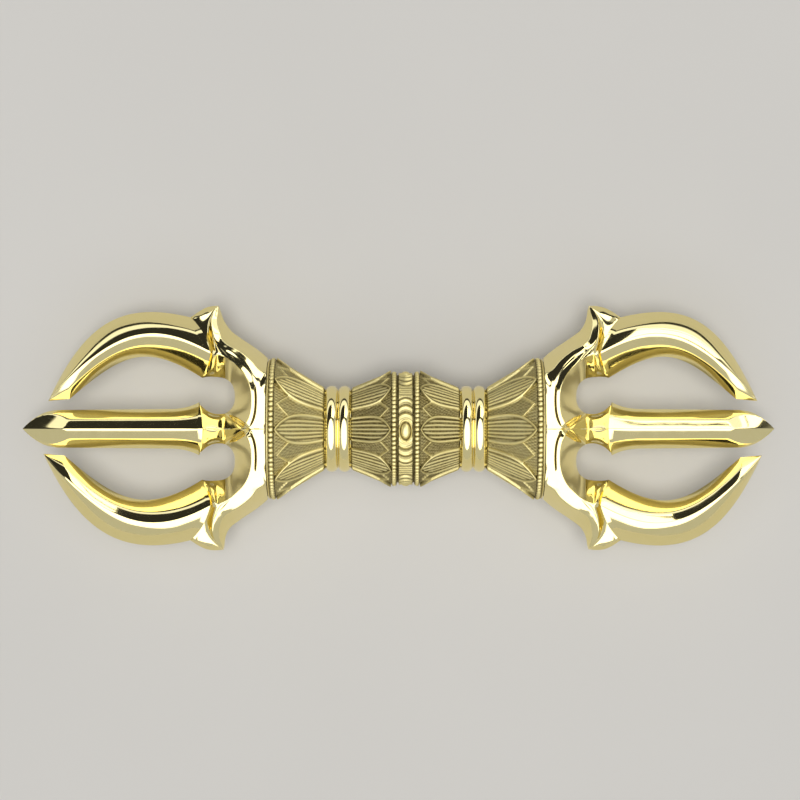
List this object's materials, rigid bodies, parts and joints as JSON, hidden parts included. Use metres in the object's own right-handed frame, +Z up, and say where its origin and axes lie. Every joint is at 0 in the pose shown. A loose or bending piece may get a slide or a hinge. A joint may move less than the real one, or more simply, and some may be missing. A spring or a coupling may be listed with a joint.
{
  "type": "three-pronged vajra",
  "caption": "Double-ended ritual vajra with ridged pointed blades on barbed crowns and a lotus-collared grip, built up on a tie rod, in polished brass.",
  "frame": {"origin": "middle of the centre band, on the long axis", "axes": "+X along the long axis towards the right-hand blades, +Y in the plane of the blades, +Z up out of that plane"},
  "size_m": [0.1813, 0.0596, 0.0342],
  "materials": {
    "polished_brass": "mirror-polished yellow brass",
    "satin_brass": "chased and satin-finished brass, darker in the recesses"
  },
  "bodies": {
    "root": {"core_rod": "polished_brass", "centre_band": "satin_brass", "left_inner_bead_rim": "satin_brass", "left_inner_lotus": "satin_brass", "left_waist_ring": "polished_brass", "left_outer_lotus": "satin_brass", "left_outer_bead_rim": "satin_brass", "left_crown": "polished_brass", "left_lock_pin": "polished_brass", "left_centre_blade": "polished_brass", "left_upper_blade": "polished_brass", "left_lower_blade": "polished_brass", "right_inner_bead_rim": "satin_brass", "right_inner_lotus": "satin_brass", "right_waist_ring": "polished_brass", "right_outer_lotus": "satin_brass", "right_outer_bead_rim": "satin_brass", "right_crown": "polished_brass", "right_lock_pin": "polished_brass", "right_centre_blade": "polished_brass", "right_upper_blade": "polished_brass", "right_lower_blade": "polished_brass"}
  },
  "joints": []
}
